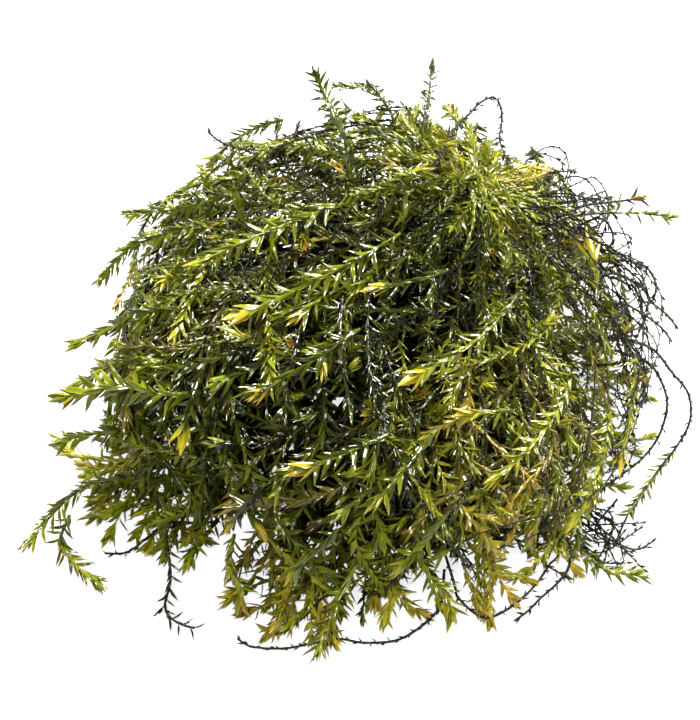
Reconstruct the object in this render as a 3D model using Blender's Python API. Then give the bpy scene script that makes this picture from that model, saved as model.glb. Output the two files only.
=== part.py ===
"""A wet clump of willow moss: a matted mound of tangled plants, with the leafy shoots and bare
stems that lie over it or spill out of it as pieces of their own. Metres, +Z up, -Y is the front,
and the origin is the middle of the flat underside that the clump rests on."""

import math

import bmesh
import bpy
from mathutils import Vector

MM = 0.001

# The matted mound: a squashed ball about a centre a little above the ground, cut flat below.
MOUND_CENTRE = Vector((0.0, 0.0, 16.0)) * MM
MOUND_HALF_SIZE = Vector((60.0, 57.0, 50.0)) * MM
HANKS = 7  # lobes where the plants gather into hanks as they run down from the crown
HANK_RELIEF = 0.035
LUMP_RELIEF = 0.03
TUFT_RELIEF = 0.10  # the mound stands fuller behind and to the right of its top
TUFT_WAY = Vector((0.22, 0.74, 0.62)).normalized()
TUFT_TIGHTNESS = 8.0
MOUND_SUBDIVISIONS = 4  # an icosphere of 1,280 faces

# The crown is where the plants part. Every hank and draped shoot runs down from it.
CROWN = Vector((0.40, 0.25, 0.88)).normalized()
CROWN_RIGHT = (Vector((1, 0, 0)) - CROWN.x * CROWN).normalized()
CROWN_BACK = CROWN.cross(CROWN_RIGHT)

# Each solid is as thick as the reach of its leaves, and keeps clear of what it lies on.
LEAF_REACH = 3.1 * MM
ROOT_REACH = 1.7 * MM
TIP_REACH = 0.9 * MM
BARE_REACH = 0.7 * MM
MOUND_GAP = 0.8 * MM
GROUND_GAP = 0.4 * MM

LEAFY_POINTS = 8
BARE_POINTS = 14
TUBE_BEVEL_RESOLUTION = 1  # six sides

# Shoots that lie on the mound: the compass angle round the crown where each begins and ends
# (0 is right, 90 back, 180 left, 270 front), then the angle down from the crown at both ends.
DRAPED_SHOOTS = [
    (207, 200, 36, 72),
    (236, 218, 30, 70),
    (246, 234, 54, 80),
    (262, 240, 32, 46),
    (292, 263, 34, 59),
    (290, 277, 59, 63),
    (264, 250, 71, 86),
    (246, 243, 92, 108),
    (220, 226, 80, 98),
    (274, 267, 68, 88),
    (306, 289, 52, 76),
    (332, 352, 39, 30),
    (340, 327, 54, 76),
    (284, 280, 84, 104),
    (263, 258, 94, 112),
    (20, 16, 44, 68),
    (156, 152, 84, 106),
    (320, 311, 60, 84),
    (146, 141, 52, 80),
    (122, 112, 48, 82),
    (82, 74, 42, 70),
    (62, 58, 38, 60),
]

# Shoots and stems that leave the mound, as the points in millimetres that each one passes.
LEAFY_SHOOTS = {
    "crown_shoot_left": [(-7, 21, 67), (-9, 31, 64), (-11, 38, 63.5), (-14, 42, 69)],
    "crown_shoot_arched": [(2.5, 35, 64), (-1, 42, 63), (-5, 46, 59.5), (-10.5, 46.5, 59)],
    "crown_shoot_right": [(11, 32, 65), (12, 41, 62), (12.5, 46, 62.5), (13, 49, 64.5)],
    "left_shoot_high": [(-35, 17, 54), (-43, 19, 48), (-50, 21, 45), (-57, 22, 42.5)],
    "left_shoot_upper": [(-42, 10, 51), (-53, 9, 47), (-58, 8, 42), (-62, 7, 36)],
    "left_shoot_middle": [(-48, -11, 46), (-56, -8.5, 40.5), (-62, -6.5, 34), (-68, -7, 31)],
    "left_shoot_short": [(-53, -19, 40.5), (-59, -16, 34.5), (-63.5, -14.5, 29), (-67, -16, 27)],
    "left_shoot_golden": [(-48, -28, 41), (-55, -26, 40), (-62, -24, 36), (-69.5, -25, 34)],
    "left_shoot_small": [(-59, -26, 24.5), (-65, -27, 24), (-71, -28, 22.5)],
    "left_shoot_trailing": [(-58, -32, 15), (-64, -33, 14), (-70, -36, 10), (-78, -43, 4)],
    "left_shoot_fork": [(-69, -43, 4), (-66, -47, 4), (-63, -50, 4), (-59, -53, 4)],
    "front_shoot_far_left": [(-46, -43, 7), (-45, -50, 3), (-46, -57, 2), (-43, -61, 2), (-37, -63, 2)],
    "front_shoot_left": [(-28, -48, 10), (-29, -53, 5.5), (-30, -60, 3.6)],
    "front_shoot_middle": [(-7, -55, 10), (-9, -61, 7), (-11, -66, 6), (-13, -72, 4)],
    "front_shoot_right": [(12, -51, 10), (15, -57, 7), (17, -63, 5)],
    "right_shoot_ground": [(41, -41, 9), (45, -45, 6.5), (50, -48, 4), (60, -50, 3.8)],
    "right_shoot_upper": [(48, 22, 46), (53, 26, 42.5), (57, 28, 41), (62, 28, 42.5)],
    "right_shoot_long": [(44, 14, 51), (50, 17, 48.5), (58, 18, 47.5), (68, 18, 46)],
    "back_shoot_far_left": [(-42, 38, 20), (-49, 45, 9), (-56, 52, 4)],
    "back_shoot_left": [(-12, 55, 16), (-14, 61, 7), (-17, 66, 4)],
    "back_shoot_right": [(17, 55, 14), (21, 60, 6), (27, 64, 4)],
    "back_shoot_far_right": [(41, 41, 14), (47, 48, 6), (54, 54, 4)],
}
BARE_STEMS = {
    "bare_stem_upper_left": [(-29, 32, 53), (-32, 36, 50), (-35.5, 39, 49), (-38, 40, 51)],
    "bare_stem_top_loop": [
        (14, 17, 67), (17.5, 28, 64), (21, 38, 58.5), (24, 43, 57.5), (27, 44, 58),
        (28.5, 42, 56), (28.5, 39, 54), (27.5, 30, 57), (29, 21, 60)
    ],
    "bare_stem_small_loop": [
        (39, 9, 55), (38, 14, 54.5), (38.5, 22, 52.5), (40, 31, 48), (42, 31, 45),
        (44, 27, 44.5), (44.5, 24, 44.5)
    ],
    "bare_stem_right_arch": [
        (41, 6, 50.5), (43, 9, 50.5), (46, 10, 53), (49, 9, 55.5), (51, 8, 54), (52, 7, 51), (51.5, 7.5, 48)
    ],
    "bare_stem_right_hook": [
        (51, 8, 42.5), (55.5, 11, 39.5), (60.5, 11.5, 37), (62.5, 9.5, 35), (63, 8, 33.5),
        (62, 6, 31), (59.5, 6, 31.5)
    ],
    "bare_stem_right_stray": [(54, 3, 43.5), (59, 4, 38.5), (61.5, 3, 34.5), (65, 1, 32.5), (67.5, -1, 30)],
    "bare_stem_right_low": [(56.5, 0, 36.5), (61, 0, 32.5), (64, -2, 31), (66, -4, 29)],
    "bare_stem_outer_arc": [
        (57, -8, 34), (61.5, -9, 32), (65.5, -12, 28), (69, -16, 25.5), (69.5, -20, 21),
        (67, -23, 16), (63, -26, 11), (59, -31, 8), (56, -36, 8)
    ],
    "bare_stem_inner_arc": [
        (61.5, -14, 31), (63.5, -17, 28), (64, -20, 25), (62.5, -23, 19), (59, -26, 15),
        (54, -30, 14), (48, -37, 17)
    ],
    "bare_stem_right_ground": [(50, -38, 3), (54, -39.5, 1.4), (58, -41, 1.4), (62, -38.5, 1.5)],
    "bare_stem_front_arc": [
        (16, -49, 4), (18, -54, 1.4), (23, -59, 1.3), (27, -58, 1.3), (32, -54, 1.3),
        (36, -49, 1.4), (40, -43, 3)
    ],
    "bare_stem_front_loop": [
        (43, -44, 3), (42, -47, 1.4), (39, -51, 1.4), (36, -54, 1.4), (33, -57.5, 1.4), (30, -60, 1.4)
    ],
    "bare_stem_front_long": [
        (13, -58, 1.4), (9, -62, 1.2), (4, -65, 1.1), (-3, -65.5, 1.1), (-8, -64.5, 1.1),
        (-13, -65.5, 1.1), (-20, -67, 1.1), (-27, -66.5, 1.1), (-30, -64.5, 1.1)
    ],
    "bare_stem_front_left": [(-11, -55, 5), (-15, -59, 2.5), (-19, -62, 1.4), (-22, -63.5, 1.2)],
    "bare_stem_left_ground": [(-50, -39, 4), (-53.5, -41, 2), (-56, -42, 1.4), (-60, -42, 1.4)],
}

LEAF_GREEN = (0.15, 0.18, 0.03)
MAT_GREEN = (0.06, 0.07, 0.016)
STEM_BLACK = (0.018, 0.017, 0.013)


def clear_scene():
    for thing in list(bpy.data.objects):
        bpy.data.objects.remove(thing)


def moss_material(name, colour, roughness):
    material = bpy.data.materials.new(name)
    material.use_nodes = True
    shader = material.node_tree.nodes["Principled BSDF"]
    shader.inputs["Base Color"].default_value = (*colour, 1.0)
    shader.inputs["Roughness"].default_value = roughness
    shader.inputs["Metallic"].default_value = 0.0
    return material


def from_crown(compass, down):
    """The unit direction from the mound's centre at these two angles from the crown, in degrees."""
    turn = math.radians(compass)
    fall = math.radians(down)
    across = math.cos(turn) * CROWN_RIGHT + math.sin(turn) * CROWN_BACK
    return math.cos(fall) * CROWN + math.sin(fall) * across


def mound_radius(direction):
    """How far the mound reaches from its centre in this unit direction."""
    size = MOUND_HALF_SIZE
    plain = 1.0 / Vector(direction[i] / size[i] for i in range(3)).length
    compass = math.atan2(direction.dot(CROWN_BACK), direction.dot(CROWN_RIGHT))
    sideways = 1.0 - direction.dot(CROWN) ** 2
    hanks = HANK_RELIEF * sideways * math.cos(HANKS * compass + 1.2 * direction.z)
    lumps = LUMP_RELIEF * math.sin(4.1 * direction.x + 1.0) * math.cos(3.7 * direction.y - 0.6)
    tuft = TUFT_RELIEF * math.exp(TUFT_TIGHTNESS * (direction.dot(TUFT_WAY) - 1.0))
    return plain * (1.0 + hanks + lumps + tuft)


def build_mound(collection, material):
    """A lumpy ball in the mound's shape, cut off flat where it rests on the ground."""
    form = bmesh.new()
    bmesh.ops.create_icosphere(form, subdivisions=MOUND_SUBDIVISIONS, radius=1.0)
    for vertex in form.verts:
        direction = vertex.co.normalized()
        vertex.co = MOUND_CENTRE + direction * mound_radius(direction)
    every_part = form.verts[:] + form.edges[:] + form.faces[:]
    cut = bmesh.ops.bisect_plane(
        form, geom=every_part, dist=0.02 * MM, plane_co=(0, 0, 0), plane_no=(0, 0, 1), clear_inner=True
    )
    rim = [edge for edge in cut["geom_cut"] if isinstance(edge, bmesh.types.BMEdge)]
    bmesh.ops.contextual_create(form, geom=rim)
    bmesh.ops.recalc_face_normals(form, faces=form.faces)
    mesh = bpy.data.meshes.new("matted_mound")
    form.to_mesh(mesh)
    form.free()
    mesh.shade_smooth()
    mesh.set_sharp_from_angle(angle=math.radians(50.0))
    mesh.materials.append(material)
    mound = bpy.data.objects.new("matted_mound", mesh)
    collection.objects.link(mound)


def through(points, count):
    """A smooth route through these points, as count points that are spread evenly on it."""
    ends = [2 * points[0] - points[1], *points, 2 * points[-1] - points[-2]]
    fine = []
    steps = 24
    for before, start, end, after in zip(ends, ends[1:], ends[2:], ends[3:]):
        for step in range(steps):
            t = step / steps
            fine.append(
                0.5
                * (
                    2 * start
                    + (end - before) * t
                    + (2 * before - 5 * start + 4 * end - after) * t**2
                    + (3 * start - before - 3 * end + after) * t**3
                )
            )
    fine.append(points[-1])
    return evenly(fine, count)


def evenly(fine, count):
    """count points at equal distances along a close run of points."""
    travelled = [0.0]
    for start, end in zip(fine, fine[1:]):
        travelled.append(travelled[-1] + (end - start).length)
    spread = []
    reached = 0
    for index in range(count):
        wanted = travelled[-1] * index / (count - 1)
        while reached < len(fine) - 2 and travelled[reached + 1] < wanted:
            reached += 1
        share = (wanted - travelled[reached]) / (travelled[reached + 1] - travelled[reached])
        spread.append(fine[reached].lerp(fine[reached + 1], share))
    return spread


def clear_of_mound(point, reach):
    """The point, moved out of the mound and up off the ground until a tube of this reach is clear."""
    outward = point - MOUND_CENTRE
    direction = outward.normalized()
    least = mound_radius(direction) + MOUND_GAP + reach
    lifted = MOUND_CENTRE + direction * max(outward.length, least)
    lifted.z = max(lifted.z, reach + GROUND_GAP)
    return lifted


def leafy_reach(share):
    """The reach of the leaves at this share of a shoot's length, from its root at 0 to its tip at 1."""
    if share < 0.3:
        return ROOT_REACH + (LEAF_REACH - ROOT_REACH) * share / 0.3
    if share < 0.75:
        return LEAF_REACH
    return LEAF_REACH + (TIP_REACH - LEAF_REACH) * ((share - 0.75) / 0.25) ** 2


def bare_reach(share):
    """A bare stem keeps its stubs of old leaves, so it stays about as thick all along."""
    return BARE_REACH * (1.0 - 0.25 * share)


def build_tube(name, route, reach_at, collection, material):
    """A solid tube along the route, clear of the mound, as thick at each point as reach_at says."""
    curve = bpy.data.curves.new(name, "CURVE")
    curve.dimensions = "3D"
    curve.bevel_depth = 1.0
    curve.bevel_resolution = TUBE_BEVEL_RESOLUTION
    curve.use_fill_caps = True
    spline = curve.splines.new("POLY")
    spline.points.add(len(route) - 1)
    for index, (knot, point) in enumerate(zip(spline.points, route)):
        reach = reach_at(index / (len(route) - 1))
        knot.co = (*clear_of_mound(point, reach), 1.0)
        knot.radius = reach
    curve.materials.append(material)
    collection.objects.link(bpy.data.objects.new(name, curve))


def draped_route(start_compass, end_compass, start_down, end_down):
    """A route down the mound's surface, from one direction round the crown to another."""
    route = []
    for index in range(LEAFY_POINTS):
        share = index / (LEAFY_POINTS - 1)
        compass = start_compass + (end_compass - start_compass) * share
        down = start_down + (end_down - start_down) * share
        direction = from_crown(compass, down)
        route.append(MOUND_CENTRE + direction * mound_radius(direction))
    return route


def main():
    clear_scene()
    clump = bpy.data.collections.new("moss_clump")
    bpy.context.scene.collection.children.link(clump)
    leafy = moss_material("leafy_moss", LEAF_GREEN, 0.35)
    matted = moss_material("matted_moss", MAT_GREEN, 0.5)
    bare = moss_material("bare_stem", STEM_BLACK, 0.45)

    build_mound(clump, matted)
    for number, angles in enumerate(DRAPED_SHOOTS, start=1):
        build_tube(f"draped_shoot_{number:02d}", draped_route(*angles), leafy_reach, clump, leafy)
    for name, passes in LEAFY_SHOOTS.items():
        points = [Vector(point) * MM for point in passes]
        build_tube(name, through(points, LEAFY_POINTS), leafy_reach, clump, leafy)
    for name, passes in BARE_STEMS.items():
        points = [Vector(point) * MM for point in passes]
        build_tube(name, through(points, BARE_POINTS), bare_reach, clump, bare)


main()
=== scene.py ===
# %% [markdown]
# # A clump of willow moss
# Willow moss lives in running water. Lifted out, its long stems fall together into a springy wet
# mound, with shoots lying over it and bare old stems looping out of its edges. We load the solid
# model first, because every shoot has to grow where its solid says.

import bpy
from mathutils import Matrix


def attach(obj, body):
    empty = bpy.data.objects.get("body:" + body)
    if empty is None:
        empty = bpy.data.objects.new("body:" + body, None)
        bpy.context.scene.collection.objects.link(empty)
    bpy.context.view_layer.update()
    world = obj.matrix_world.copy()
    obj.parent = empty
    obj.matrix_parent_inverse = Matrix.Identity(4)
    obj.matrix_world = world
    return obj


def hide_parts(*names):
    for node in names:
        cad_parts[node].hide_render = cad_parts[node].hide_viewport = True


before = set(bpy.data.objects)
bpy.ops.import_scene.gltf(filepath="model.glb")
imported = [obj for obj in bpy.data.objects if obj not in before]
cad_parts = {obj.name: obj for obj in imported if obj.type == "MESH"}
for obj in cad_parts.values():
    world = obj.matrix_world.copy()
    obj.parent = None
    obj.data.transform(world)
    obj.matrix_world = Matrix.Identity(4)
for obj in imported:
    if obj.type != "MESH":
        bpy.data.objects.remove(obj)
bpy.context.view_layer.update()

import math

import bmesh
import bpy
import numpy as np
from mathutils import Vector

MM = 0.001
dice = np.random.default_rng(41)
print("solids in the frame:", len(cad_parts))

# %% [markdown]
# ## The camera
# The clump lies on a table and we look down on it at about fifty degrees from sixty centimetres
# away, through a long lens, so that its near and far sides keep almost the same scale.

# %% Camera
LOOK_AT = Vector((-5.7, 0.0, 18.0)) * MM
LOOK_DOWN = math.radians(50.0)
CAMERA_DISTANCE, FOCAL_LENGTH = 0.6, 132.2
away = Vector((0.0, -math.cos(LOOK_DOWN), math.sin(LOOK_DOWN)))
camera = bpy.data.objects.new("camera", bpy.data.cameras.new("camera"))
camera.data.lens = FOCAL_LENGTH
camera.data.clip_start, camera.data.clip_end = 0.05, 10.0
camera.location = LOOK_AT + CAMERA_DISTANCE * away
camera.rotation_mode = "QUATERNION"
camera.rotation_quaternion = (-away).to_track_quat("-Z", "Y")
bpy.context.scene.collection.objects.link(camera)
bpy.context.scene.camera = camera
print("camera looks down", round(math.degrees(LOOK_DOWN)), "degrees")

# %% [markdown]
# ## The mound's form
# The plants part at a crown, a little behind and to the right of the middle, and run down from
# it to the ground in hanks. Two angles place anything on the mound: the compass angle round the
# crown and the fall away from it. One function gives how far the mound reaches that way.

# %% The mound as a function
CENTRE = np.array([0.0, 0.0, 16.0])
HALF_SIZE = np.array([60.0, 57.0, 50.0])


def unit(vectors):
    """The same vectors, each with a length of one."""
    return vectors / np.maximum(np.linalg.norm(vectors, axis=-1, keepdims=True), 1e-9)


CROWN = unit(np.array([0.40, 0.25, 0.88]))
CROWN_RIGHT = unit(np.array([1.0, 0.0, 0.0]) - CROWN[0] * CROWN)
CROWN_BACK = np.cross(CROWN, CROWN_RIGHT)
HANKS, HANK_RELIEF, LUMP_RELIEF, TUFT_RELIEF = 7, 0.035, 0.03, 0.10
TUFT_WAY = unit(np.array([0.22, 0.74, 0.62]))
TUFT_TIGHTNESS = 8.0


def from_crown(compass, fall):
    """Directions from the mound's centre at these angles, in degrees, from its crown."""
    turn, down = np.radians(compass), np.radians(fall)
    across = np.cos(turn)[:, None] * CROWN_RIGHT + np.sin(turn)[:, None] * CROWN_BACK
    return np.cos(down)[:, None] * CROWN + np.sin(down)[:, None] * across


def mound_radius(ways):
    """How far the mound reaches from its centre in each of these directions, in millimetres."""
    plain = 1.0 / np.linalg.norm(ways / HALF_SIZE, axis=-1)
    compass = np.arctan2(ways @ CROWN_BACK, ways @ CROWN_RIGHT)
    sideways = 1.0 - (ways @ CROWN) ** 2
    hanks = HANK_RELIEF * sideways * np.cos(HANKS * compass + 1.2 * ways[..., 2])
    lumps = LUMP_RELIEF * np.sin(4.1 * ways[..., 0] + 1.0) * np.cos(3.7 * ways[..., 1] - 0.6)
    tuft = TUFT_RELIEF * np.exp(TUFT_TIGHTNESS * (ways @ TUFT_WAY - 1.0))
    return plain * (1.0 + hanks + lumps + tuft)


print("reach at the crown:", round(float(mound_radius(CROWN)), 1), "mm")

# %% [markdown]
# ## One leaf
# A leaf of this moss is a lance folded along its middle like a boat, with the keel outside. We
# start from a four-cornered ring: keel, two edges and the groove between them. It is extruded
# through a few sections and merged to a point at both ends, which leaves a thin closed shell of
# 8 to 24 triangles. That little is enough, because tens of thousands of leaves will be laid.

# %% Leaf templates
def only(kind, geometry):
    """The parts of one kind, such as vertices, in what an operator gives back."""
    return [part for part in geometry if isinstance(part, kind)]


LEAF_FOOT, LEAF_TIP = (0.0, 0.0, 0.1), (1.0, 0.0, 0.3)


def leaf_form(sections, fold, groove):
    """A keeled leaf 1 long through (x, half width) sections, with its edges raised by the fold."""
    bm = bmesh.new()
    start, width = sections[0]
    for corner in bmesh.ops.create_circle(bm, segments=4, radius=1.0)["verts"]:
        on_edge = abs(corner.co.x) > 0.5
        height = fold if on_edge else (groove if corner.co.y > 0 else 0.0)
        corner.co = (start, width * round(corner.co.x), width * height)
    first_ring = last_ring = bm.edges[:]
    for (x_before, before), (x_after, after) in zip(sections, sections[1:]):
        grown = bmesh.ops.extrude_edge_only(bm, edges=last_ring)["geom"]
        corners = only(bmesh.types.BMVert, grown)
        bmesh.ops.scale(bm, verts=corners, vec=(1.0, after / before, after / before))
        bmesh.ops.translate(bm, verts=corners, vec=(x_after - x_before, 0.0, 0.0))
        grown_edges = only(bmesh.types.BMEdge, grown)
        last_ring = [edge for edge in grown_edges if set(edge.verts) <= set(corners)]
    for ring, point in ((first_ring, LEAF_FOOT), (last_ring, LEAF_TIP)):
        grown = bmesh.ops.extrude_edge_only(bm, edges=ring)["geom"]
        bmesh.ops.pointmerge(bm, verts=only(bmesh.types.BMVert, grown), merge_co=point)
    return bm


def read_template(bm, sharp_angle):
    """The form's arrays: points, edges, which edges are sharp, and its faces as corners and sides."""
    bmesh.ops.recalc_face_normals(bm, faces=bm.faces)
    bm.verts.index_update()
    bm.edges.index_update()
    template = {
        "points": np.array([vertex.co[:] for vertex in bm.verts]),
        "edges": np.array([[vertex.index for vertex in edge.verts] for edge in bm.edges]),
        "sharp": np.array([edge.calc_face_angle(0.0) > sharp_angle for edge in bm.edges]),
        "sizes": np.array([len(face.verts) for face in bm.faces]),
        "corners": np.array([loop.vert.index for face in bm.faces for loop in face.loops]),
        "sides": np.array([loop.edge.index for face in bm.faces for loop in face.loops]),
    }
    bm.free()
    return template


KEEL_ANGLE = math.radians(28.0)
LANCE = [(0.16, 0.78), (0.42, 1.0), (0.72, 0.60)]
SHORT_LANCE = [(0.24, 0.95), (0.62, 0.72)]
LEAF_SHAPES = {
    # sections, fold, groove
    "lance": (LANCE, 1.25, 0.30),
    "narrow": (SHORT_LANCE, 1.25, 0.30),
    "broad": (LANCE, 0.55, 0.16),
    "open": (SHORT_LANCE, 0.55, 0.16),
    "plain": ([(0.38, 1.0)], 0.8, 0.2),
}
TEMPLATES = {
    shape: read_template(leaf_form(*form), KEEL_ANGLE) for shape, form in LEAF_SHAPES.items()
}
for shape, template in TEMPLATES.items():
    print(shape, "leaf:", int((template["sizes"] - 2).sum()), "triangles")

# %% [markdown]
# ## One internode
# A stem bends too gently to need a swept tube. Short prisms laid end to end follow it, and they
# can be copied in the same sweep as the leaves. A cone primitive gives the prism with its caps.

# %% Stem templates
def stem_form(sides):
    """One internode: a capped prism from x = 0 to x = 1 with a radius of one."""
    bm = bmesh.new()
    bmesh.ops.create_cone(bm, cap_ends=True, segments=sides, radius1=1.0, radius2=0.9, depth=1.0)
    bmesh.ops.translate(bm, verts=bm.verts, vec=(0, 0, 0.5))
    for vertex in bm.verts:
        vertex.co = (vertex.co.z, vertex.co.x, vertex.co.y)
    return bm


CAP_ANGLE = math.radians(80.0)
TEMPLATES["stem"] = read_template(stem_form(5), CAP_ANGLE)
TEMPLATES["thread"] = read_template(stem_form(3), CAP_ANGLE)
print("stems with 5 and 3 sides are ready")

# %% [markdown]
# ## Laying copies
# A sheaf gathers where each copy goes: its foot, three axes, length, half width, bend and colour.
# All copies of one template are then placed in one sweep of arrays and joined into one mesh.
# That is far quicker than thousands of objects. Each mesh keeps a map in narrow columns, one for
# each step of tone: the place across a leaf runs across its column, and foot to tip runs upwards.

# %% Sheaves of copies
KINDS = {"leaf": 0, "old": 1, "bud": 2, "stem": 3}
TONE_STEPS = 48
COLUMN_REACH, BAND_MARGIN = 0.42, 0.04
# what lies lower than these two heights together, in millimetres, is pressed up off the table
LEAST_HEIGHT, SETTLING = 0.15, 0.75


def new_sheaf():
    """An empty sheaf, with a list of rows for each template."""
    return {shape: [] for shape in TEMPLATES}


def lay(sheaf, shape, foot, along, up, length, half_width, bend, tone, kind):
    """Adds copies of a template: a row for each, with its foot, axes, sizes, bend, tone and kind."""
    count = len(foot)
    side = unit(np.cross(up, along))
    columns = [foot, along, side, np.cross(along, side)]
    for value in (length, half_width, bend, tone, KINDS[kind]):
        columns.append(np.broadcast_to(value, count)[:, None])
    sheaf[shape].append(np.hstack(columns))


def placed(template, rows):
    """Every copy's points and map, from the rows of a sheaf. Low points are settled on the table."""
    foot, along, side, up = (rows[:, i : i + 3][:, None] for i in (0, 3, 6, 9))
    length, half_width, bend, tone, kind = (rows[:, i][:, None] for i in range(12, 17))
    x, y, z = template["points"].T
    lift = (z * half_width + bend * length * x**2)[..., None]
    points = foot + along * (x * length)[..., None] + side * (y * half_width)[..., None] + up * lift
    rest = LEAST_HEIGHT + SETTLING
    settled = LEAST_HEIGHT + SETTLING * np.exp((np.minimum(points[..., 2], rest) - rest) / SETTLING)
    points[..., 2] = np.where(points[..., 2] < rest, settled, points[..., 2])
    column = np.floor(np.clip(tone, 0, 0.999) * TONE_STEPS) + 0.5
    across = (column + COLUMN_REACH * y) / TONE_STEPS
    upwards = (kind + BAND_MARGIN + (1 - 2 * BAND_MARGIN) * np.clip(x, 0, 1) + 0.012 * z) / len(KINDS)
    return points, np.stack(np.broadcast_arrays(across, upwards), axis=-1)


print("kinds of tissue:", ", ".join(KINDS))

# %% [markdown]
# Now a sheaf becomes a mesh. We fill the mesh's own arrays in bulk, mark the keels and edges as
# sharp so that each leaf keeps its crisp fold, and hang the finished piece on the model's body.

# %% From sheaf to piece
def gathered(sheaf):
    """The sheaf's copies as joined arrays: points, edges, sharp, sizes, corners, sides and map."""
    parts = [[], [], [], [], [], [], []]
    point_start = edge_start = 0
    for shape, rows in sheaf.items():
        if not rows:
            continue
        template = TEMPLATES[shape]
        points, chart = placed(template, np.vstack(rows))
        count, n_points = points.shape[:2]
        n_edges = len(template["edges"])
        steps = np.arange(count)[:, None]
        parts[0].append(points.reshape(-1, 3))
        parts[1].append((template["edges"] + steps[..., None] * n_points).reshape(-1, 2) + point_start)
        parts[2].append(np.tile(template["sharp"], count))
        parts[3].append(np.tile(template["sizes"], count))
        parts[4].append((template["corners"] + steps * n_points).ravel() + point_start)
        parts[5].append((template["sides"] + steps * n_edges).ravel() + edge_start)
        parts[6].append(chart[:, template["corners"]].reshape(-1, 2))
        point_start += count * n_points
        edge_start += count * n_edges
    return [np.concatenate(part) for part in parts]


def sheaf_mesh(name, sheaf):
    """One mesh that holds every copy in the sheaf, and its number of triangles."""
    points, edges, sharp, sizes, corners, sides, chart = gathered(sheaf)
    mesh = bpy.data.meshes.new(name)
    mesh.vertices.add(len(points))
    mesh.edges.add(len(edges))
    mesh.loops.add(len(corners))
    mesh.polygons.add(len(sizes))
    mesh.vertices.foreach_set("co", (points * MM).astype(np.float32).ravel())
    mesh.edges.foreach_set("vertices", edges.astype(np.int32).ravel())
    mesh.loops.foreach_set("vertex_index", corners.astype(np.int32))
    mesh.loops.foreach_set("edge_index", sides.astype(np.int32))
    mesh.polygons.foreach_set("loop_start", (np.cumsum(sizes) - sizes).astype(np.int32))
    mesh.update()
    mesh.shade_smooth()
    mesh.attributes.new("sharp_edge", "BOOLEAN", "EDGE").data.foreach_set("value", sharp)
    mesh.uv_layers.new(name="OFBake").uv.foreach_set("vector", chart.astype(np.float32).ravel())
    return mesh, int((sizes - 2).sum())


# %% Finishing a piece
triangle_counts = {}


def finish_piece(name, sheaf, nodes, material):
    """The sheaf as a finished piece that stands for these solids."""
    mesh, triangle_counts[name] = sheaf_mesh(name, sheaf)
    mesh.materials.append(material)
    piece = bpy.data.objects.new(name, mesh)
    bpy.context.scene.collection.objects.link(piece)
    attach(piece, "root")
    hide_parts(*nodes)


print("templates ready:", ", ".join(TEMPLATES))

# %% [markdown]
# ## Leaf tissue
# Wet moss leaves run from bottle green through olive and lime to gold, paler at the clasping foot
# and with faint nerves along them. Across a leaf the colour carries painted light: darker beside
# the keel, and pale at the edges as a painted highlight for the glint on a wet margin. One node
# group turns a leaf's place on its map into a colour, so every shoot shares it. The map's upper
# bands hold old leaves, buds and stems. The group also gives a leaf its shallow relief, which
# breaks the one glint of a flat leaf into several.

# %% Colours of the tissue
FRESH = [
    (0.0, (0.008, 0.008, 0.001)), (0.2, (0.030, 0.036, 0.002)), (0.4, (0.092, 0.108, 0.004)),
    (0.6, (0.210, 0.220, 0.010)), (0.75, (0.315, 0.300, 0.015)), (0.88, (0.44, 0.36, 0.025)),
    (1.0, (0.60, 0.38, 0.04)),
]
OLD = [
    (0.0, (0.009, 0.007, 0.002)), (0.3, (0.038, 0.032, 0.006)), (0.6, (0.13, 0.105, 0.012)),
    (0.85, (0.28, 0.21, 0.02)), (1.0, (0.42, 0.27, 0.03)),
]
BUD = [
    (0.0, (0.25, 0.28, 0.015)), (0.3, (0.39, 0.34, 0.018)), (0.6, (0.52, 0.36, 0.020)),
    (0.85, (0.54, 0.28, 0.03)), (1.0, (0.42, 0.18, 0.04)),
]
BARK = [
    (0.0, (0.009, 0.008, 0.006)), (0.35, (0.034, 0.030, 0.010)), (0.7, (0.17, 0.20, 0.016)),
    (1.0, (0.40, 0.41, 0.03)),
]
UP_A_LEAF = [
    (0.0, (1.9, 1.7, 1.2)), (0.22, (1.2, 1.15, 1.0)), (0.55, (0.8, 0.85, 1.0)),
    (0.85, (1.1, 1.05, 1.0)), (1.0, (2.0, 1.7, 2.0)),
]
UP_A_BUD = [
    (0.0, (0.20, 0.36, 0.3)), (0.4, (0.65, 0.85, 0.7)), (0.8, (1.0, 1.0, 1.0)),
    (1.0, (1.1, 1.3, 6.0)),
]
# painted light across a leaf: darker beside the keel, and pale bluish edges as a painted highlight for
# the glint on a wet margin
ACROSS_A_LEAF_PAINTED_LIGHT = [
    (0.0, (1.0, 0.95, 0.9)), (0.12, (0.72, 0.75, 0.8)), (0.62, (0.85, 0.88, 0.9)),
    (0.84, (1.9, 1.8, 2.4)),
]
NERVES, NERVE_SHADE, NERVE_DULLNESS = 5.0, 0.12, 0.03
# depth in millimetres and number of radians, across a leaf and along it
TROUGH, TROUGH_TURNS = 0.045, 7.5
WAVE, WAVE_TURNS = 0.09, 9.0
WAVE_SHIFT = 60.0


def ramp(nodes, stops):
    """A colour ramp through these (position, colour) stops."""
    node = nodes.new("ShaderNodeValToRGB")
    elements = node.color_ramp.elements
    while len(elements) < len(stops):
        elements.new(0.5)
    for element, (position, colour) in zip(elements, stops):
        element.position = position
        element.color = (*colour, 1.0)
    return node


print("ramps:", len(FRESH) + len(OLD) + len(BUD) + len(BARK), "stops")

# %% Small makers for the group's nodes
def feed(links, socket, value):
    """Sets a socket to a number or a colour, or links it to another socket."""
    if isinstance(value, (int, float)):
        socket.default_value = value
    elif isinstance(value, tuple):
        socket.default_value = (*value, 1.0)
    else:
        links.new(value, socket)


def sum_node(group, operation, *values):
    """A math node and what comes out of it."""
    node = group.nodes.new("ShaderNodeMath")
    node.operation = operation
    for socket, value in zip(node.inputs, values):
        feed(group.links, socket, value)
    return node.outputs[0]


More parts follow.
